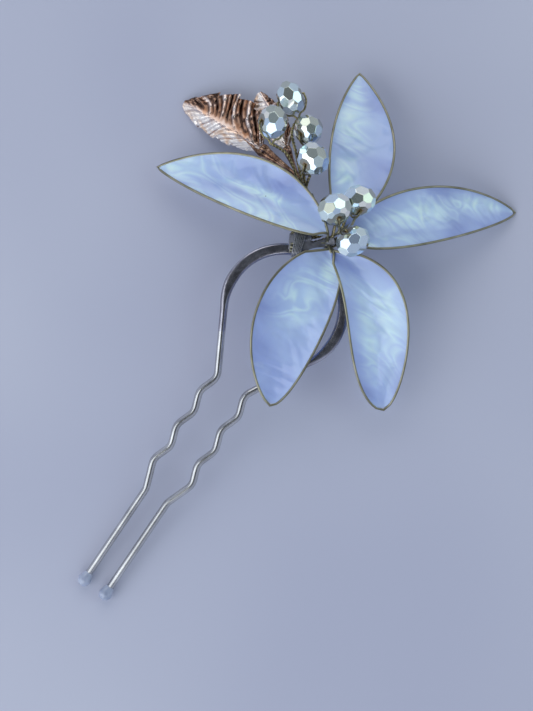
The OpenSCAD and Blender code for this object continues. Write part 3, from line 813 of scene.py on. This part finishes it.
BEADS = {
    # radius, turn of the facets, places its wire passes, strand of the stem that it joins
    "flower_bead_left": (BEAD_RADIUS, 0.2, [], ("flower", 160)),
    "flower_bead_upper": (BEAD_RADIUS, 0.5, [], ("flower", 78)),
    "flower_bead_right": (BEAD_RADIUS, 0.1, [], ("flower", 355)),
    "spray_bead_outer": (BEAD_RADIUS, 0.3, [(-16.4, 8.4, -2.2)], ("spray", 60)),
    "spray_bead_top": (BEAD_RADIUS, 0.0, [(-18.7, 13, -5.6), (-15.6, 9.9, -4.4)], ("spray", 0)),
    "spray_bead_small": (SMALL_BEAD_RADIUS, 0.6, [(-13.9, 9.4, -4.3)], ("spray", 240)),
    "spray_bead_inner": (BEAD_RADIUS, 0.4, [], ("spray", 300)),
}

SPRAY_OUT = STEM_RADIUS + 1.18
SPRAY_Z = STEM_Z - 0.2
SPRAY_RING = 0.69
spray_hook = [(-12.2, 6.1), (-8.9, 3.9), (-5.9, 2.2), (-3.9, 1.2), (-3.3, -0.1), (-4.3, -1.3)]
spray_line = smooth_line(
    [Vector((FLOWER.x + x, FLOWER.y + y, SPRAY_Z - 0.06 * math.hypot(x, y))) for x, y in spray_hook]
    + [on_crown(angle, SPRAY_OUT, SPRAY_Z) for angle in (20, 24.5, BOUND_TO)], 4)


def spray_strand(slot):
    return beside(spray_line, UP, SPRAY_RING, slot)


def bead_wire(name, radius, via, stem):
    """A wire through the bead. Both ends come round it and are twisted together down the stem."""
    middle, axis = joint_place(name + "_spin"), joint_axis(name + "_spin")
    stem_kind, slot = stem
    strand = stem_strand(slot)[4:] if stem_kind == "flower" else spray_strand(slot)[2:]
    passed = [FLOWER + Vector(place) for place in via]
    tied = (passed + strand)[0]
    side = square_to(tied - middle, axis)
    gather = middle + side * (radius + 1.1)
    arms = []
    for way in (1, -1):
        arms += smooth_line(
            [middle + axis * along * way + side * out for along, out in
             ((0, 0), (BEAD_HALF + 0.05, 0), (BEAD_HALF + 0.28, 0.35),
              (BEAD_HALF + 0.22, radius * 0.5), (BEAD_HALF * 0.72, radius * 0.9 + 0.2),
              (BEAD_HALF * 0.3, radius + 0.3))]
            + [gather + axis * way * BEAD_WIRE_RADIUS * 0.9], 6)[::way]
    loop_a = arms[:len(arms) // 2]
    loop_b = arms[len(arms) // 2:]
    neck_line = smooth_line([gather] + passed + strand[:2], 6)[:-1] + strand[1:]
    parts = [wire(name + "_arm_a", loop_a, BEAD_WIRE_RADIUS, 10), wire(name + "_arm_b", loop_b, BEAD_WIRE_RADIUS, 10)]
    parts += twisted_pair(name + "_twist", neck_line, BEAD_WIRE_RADIUS * 0.85, 1.5)
    piece = join(name + "_twisted_wire", parts)
    smooth(piece)
    finish_piece(piece, bead_brass, "brass_wire", name + "_wire")


bead_model = faceted_bead()
for bead_name, (bead_radius, bead_spin, bead_via, bead_stem) in BEADS.items():
    set_bead(bead_model, bead_name, bead_radius, bead_spin)
    bead_wire(bead_name, bead_radius, bead_via, bead_stem)
bpy.data.objects.remove(bead_model)


# ---------------------------------------------------------------------------- leaves

class Leaf:
    """Midrib from base to tip, with its right and left sides, ribs, neck and stem."""

    # Fullness at the base and at the tip, on the right and on the left of the midrib
    SIDES = ((0.7, 0.97), (0.8, 0.6))

    def __init__(self, base, middle, tip, halves, folds, ribs, dip, neck, slot):
        self.base, self.middle, self.tip = (FLOWER + Vector(p) for p in (base, middle, tip))
        self.halves, self.ribs, self.dip, self.neck, self.slot = halves, ribs, dip, neck, slot
        self.folds = [math.radians(fold) for fold in folds]

    def midrib(self, t):
        return self.base.lerp(self.middle, t).lerp(self.middle.lerp(self.tip, t), t)

    def half_width(self, t, v):
        root, end = self.SIDES[v > 0]
        peak = root / (root + end)
        tooth = (self.ribs * t + 0.5) % 1
        return 0.6 * self.neck * (1 - t) + self.halves[v > 0] * (1 - 0.16 * tooth) \
            * (t / peak) ** root * ((1 - t) / (1 - peak)) ** end

    def relief(self, t, v):
        """Height of the folded ribs, which leave the neck and the midrib and lean to the tip."""
        wander = 0.5 * noise.noise(Vector((3.5 * t, 0.8 * v, self.slot)))
        phase = self.ribs * (t - (0.14 + 0.30 * (1 - t) ** 3) * abs(v)) + wander
        rib = 1 - 2 * abs(2 * (phase % 1) - 1)
        vein = 1 - 2 * abs(2 * (phase * 3 % 1) - 1)
        crease = noise.noise(Vector((22 * t, 5 * v, self.slot)))
        return (0.17 * rib + 0.15 * vein + 0.16 * crease) * min(abs(v) * 2.2, 1) * min((1 - t) * 6, 1)

    def point(self, t, v):
        along = (self.tip - self.base).normalized()
        across = square_to(UP.cross(along), along)
        fold = self.folds[v > 0]
        out = self.half_width(t, v) * abs(v)
        return self.midrib(t) + across * math.copysign(out * math.cos(fold), v) \
            + UP * (self.relief(t, v) - out * math.sin(fold))


LEAVES = {
    "large": Leaf((-22.2, 7.1, -7), (-31.3, 7.3, -8.2), (-40.3, 6.8, -13.0),
                  (6.8, 4.08), (10, 48), 5, 0.3, 1.3, 120),
    "small": Leaf((-18.2, 10.4, -7.6), (-23.3, 14.1, -7.8), (-28.7, 16.7, -10.8),
                  (2.31, 3.3), (22, 22), 4, 1.5, 0.8, 180),
}


def leaf_blade(name, leaf):
    columns, rows = 190, 61
    blade = shaped_grid(name + "_leaf_blade", columns, rows,
                        lambda column, row: leaf.point(0.985 * column / (columns - 1), 2 * row / (rows - 1) - 1))
    rib_heights_and_painted_light = blade.data.attributes.new("rib_height_and_painted_side_light", "FLOAT", "POINT")
    for k, item in enumerate(rib_heights_and_painted_light.data):
        t, v = 0.985 * (k % columns) / (columns - 1), 2 * (k // columns) / (rows - 1) - 1
        # Rib height, plus painted light: the half with v above 0 is raised and painted lighter and cream, the other
        # half lowered and painted darker.
        item.value = 0.5 + leaf.relief(t, v) * 1.1 + 0.24 * max(min(4 * v, 1), -1)
    modify(blade, "SOLIDIFY", thickness=0.3 * MM, offset=0)
    edit(blade)
    bpy.ops.mesh.normals_make_consistent(inside=False)
    done()
    smooth(blade, 40)
    finish_piece(blade, leaf_metal, "rose_gold_leaf", name + "_leaf")


def leaf_stem(name, leaf):
    """Midrib, folded flat neck and round stem of a leaf, in one piece."""
    strand = spray_strand(leaf.slot)
    inward = (leaf.base - leaf.middle).normalized()
    lead_in = strand[0] + 1.6 * (strand[0] - strand[1]).normalized() - UP * 0.25 * leaf.dip
    corners = [leaf.midrib(0.6) - UP * 0.3, leaf.midrib(0.2) - UP * 0.3, leaf.base + inward * 0.4 - UP * 0.25,
               leaf.base + inward * 2 - UP * leaf.dip, lead_in, strand[0]]
    line = smooth_line(corners, 10) + strand[1:]
    rings = []
    for k, (at, along, up) in enumerate(zip(line, directions(line), carried_sides(line, UP))):
        opening, closing = ease((k - 8) / 14), 1 - ease((k - 24) / 18)
        half = blend(STRAND_STEM, leaf.neck, opening * closing)
        pleats = 0.15 * (half - STRAND_STEM) / leaf.neck
        across = along.cross(up)
        ring = []
        for j in range(36):
            c, s = math.cos(2 * math.pi * j / 36), math.sin(2 * math.pi * j / 36)
            ring.append(at + up * (STRAND_STEM * c + pleats * c * math.cos(9 * s)) + across * half * s)
        rings.append(ring)
    piece = through(name + "_leaf_midrib_and_stem", rings)
    smooth(piece, 50)
    finish_piece(piece, stem_copper, "rose_gold_leaf", name + "_leaf_stem")


STRAND_STEM = 0.3
for leaf_name, leaf_shape in LEAVES.items():
    leaf_blade(leaf_name, leaf_shape)
    leaf_stem(leaf_name, leaf_shape)


# ---------------------------------------------------------------------------- bindings

def binding(name, line, half_a, half_b, square, offset, steps, radius, material, slot, node):
    """Close turns of wire round the stems."""
    rings = []
    for k, (at, along, side) in enumerate(zip(line, directions(line), carried_sides(line, UP))):
        c, s = math.cos(2 * math.pi * k / steps), math.sin(2 * math.pi * k / steps)
        across = along.cross(side)
        rings.append(at + across * (offset[0] + half_a * math.copysign(abs(c) ** square, c))
                     + side * (offset[1] + half_b * math.copysign(abs(s) ** square, s)))
    piece = wire(name, rings, radius, 8)
    smooth(piece)
    finish_piece(piece, material, slot, node)
    return rings


BINDING_RADIUS = 0.15
TURN_STEPS = 28
FLOWER_TURNS = 6
SPRAY_TURNS = 6
wrap_in = BAND_WIDTH / 2 + 0.3
wrap_out = SPRAY_OUT + SPRAY_RING + 0.36
wrap_low = TIP_RADIUS + (CROWN_Y + CROWN_RADIUS * math.cos(math.radians(BOUND_TO))) * math.sin(PIN_TILT) \
    - BAND_THICKNESS / 2 - 0.15
wrap_high = STEM_Z + STEM_RADIUS
wrap_room = BINDING_RADIUS + 0.15
wrap_line = [on_crown(blend(BOUND_FROM + 4.8, BOUND_TO - 2, k / (FLOWER_TURNS * TURN_STEPS)), 0, wrap_low)
             for k in range(FLOWER_TURNS * TURN_STEPS + 1)]
binding("flower_binding_wire", wrap_line, (wrap_out + wrap_in) / 2 + wrap_room,
        (wrap_high - wrap_low) / 2 + wrap_room, 0.34,
        ((wrap_out - wrap_in) / 2, (wrap_high - wrap_low) / 2), TURN_STEPS, BINDING_RADIUS,
        binding_silver, "binding_wire", "flower_binding")

spray_start = spray_line[2].lerp(spray_line[6], 0.4)
spray_way = (spray_line[8] - spray_line[2]).normalized()
spray_wrap = [spray_start + spray_way * 0.4 * k / TURN_STEPS for k in range(SPRAY_TURNS * TURN_STEPS + 1)]
binding("spray_binding_wire", spray_wrap, SPRAY_RING + 0.48, SPRAY_RING + 0.48, 1, (0, 0), TURN_STEPS,
        BINDING_RADIUS, bead_brass, "brass_wire", "spray_binding")


def glue_run():
    """Adhesive round the binding and along the stems to the flower, uneven as it set."""
    middle_out, middle_up = (wrap_out - wrap_in) / 2, (wrap_high + wrap_low) / 2
    over_binding = [on_crown(blend(BOUND_TO + 1.5, BOUND_FROM + 5, k / 4), middle_out, middle_up) for k in range(5)]
    line = evenly(smooth_line(over_binding + [at + UP * 0.45 for at in stem_line[14:3:-3]], 8), 0.2)
    rings = []
    for k, (at, along) in enumerate(zip(line, directions(line))):
        out = along.cross(UP).normalized()
        share = k / (len(line) - 1)
        full = math.sin(math.pi * blend(0.03, 0.97, share)) ** 0.25
        narrowed = ease((share - 0.22) / 0.3)
        half_out = blend((wrap_out + wrap_in) / 2 + 0.22, 1.1, narrowed)
        half_up = blend((wrap_high - wrap_low) / 2 + 0.25, 0.8, narrowed)
        ring = []
        for j in range(32):
            c, s = math.cos(2 * math.pi * j / 32), math.sin(2 * math.pi * j / 32)
            swell = 1 + 0.10 * noise.noise(at * 0.7 + Vector((c, s, 0)))
            ring.append(at + (out * half_out * math.copysign(abs(c) ** 0.6, c)
                              + UP * half_up * math.copysign(abs(s) ** 0.6, s)) * swell * full)
        rings.append(ring)
    piece = through("glue_run", rings)
    smooth(piece)
    finish_piece(piece, glue, "clear_glue", "glue_pad")


glue_run()


# ---------------------------------------------------------------------------- floor, light and camera

def floor():
    deselect()
    bpy.ops.mesh.primitive_plane_add(size=3, location=(0, 0, -0.00002))
    plane = bpy.context.object
    plane.name = "floor"
    material, nodes, links, shader = new_material("pale_floor")
    at = coordinates(nodes, links)
    cloud = noise_node(nodes, links, at, 0.008, 2, 0.4)
    links.new(ramp_node(nodes, links, cloud, [(0.35, (0.46, 0.48, 0.60)), (0.65, (0.56, 0.58, 0.68))]),
              shader.inputs["Base Color"])
    shader.inputs["Roughness"].default_value = 0.6
    plane.data.materials.append(material)


def soft_light(name, toward, distance, size, power, colour):
    """A square soft box above the flower. Toward is (screen right, screen up, up)."""
    right, up = Vector((0.827, 0.562, 0)), Vector((-0.562, 0.827, 0))
    way = (right * toward[0] + up * toward[1] + UP * toward[2]).normalized()
    target = Vector((0.002, 0.08, 0.01))
    deselect()
    bpy.ops.object.light_add(type="AREA", location=target + way * distance)
    lamp = bpy.context.object
    lamp.name = name
    lamp.data.shape = "RECTANGLE"
    lamp.data.size, lamp.data.size_y = size
    lamp.data.energy = power
    lamp.data.color = colour
    lamp.rotation_euler = way.to_track_quat("Z", "Y").to_euler()


floor()
soft_light("cream_box", (-0.10, 1.0, 0.80), 0.9, (1.1, 0.55), 2.1, (1.0, 0.98, 0.91))
soft_light("mint_box", (1.0, 0.15, 0.85), 0.9, (0.45, 0.6), 0.9, (0.78, 1.0, 0.90))
soft_light("left_box", (-0.9, -0.7, 0.8), 0.75, (1.0, 1.0), 4.2, (0.92, 0.97, 1.0))


def studio_world():
    """Soft cool surroundings, dark overhead and pale towards the horizon."""
    world = bpy.context.scene.world or bpy.data.worlds.new("studio")
    bpy.context.scene.world = world
    world.use_nodes = True
    nodes, links = world.node_tree.nodes, world.node_tree.links
    place = nodes.new("ShaderNodeTexCoord")
    rise = nodes.new("ShaderNodeSeparateXYZ")
    links.new(place.outputs["Generated"], rise.inputs["Vector"])
    sky = ramp_node(nodes, links, rise.outputs["Z"], [
        (0.0, (0.70, 0.76, 0.92)), (0.45, (0.66, 0.72, 0.90)), (0.80, (0.40, 0.45, 0.60)),
        (0.93, (0.10, 0.11, 0.13)), (1.0, (0.06, 0.07, 0.08))])
    links.new(sky, nodes["Background"].inputs["Color"])
    nodes["Background"].inputs["Strength"].default_value = 0.72


studio_world()
bpy.context.scene.view_settings.view_transform = "Standard"

CAMERA_HEIGHT = 0.32
CAMERA_OVER = Vector((0.00236, 0.0567, 0))
SCREEN_TURN = math.atan2(0.562, 0.827)
bpy.ops.object.camera_add(location=CAMERA_OVER + UP * CAMERA_HEIGHT, rotation=(0, 0, SCREEN_TURN))
camera = bpy.context.object
camera.data.lens = 81.8
camera.data.sensor_width = 36
camera.data.clip_start = 0.01
bpy.context.scene.camera = camera
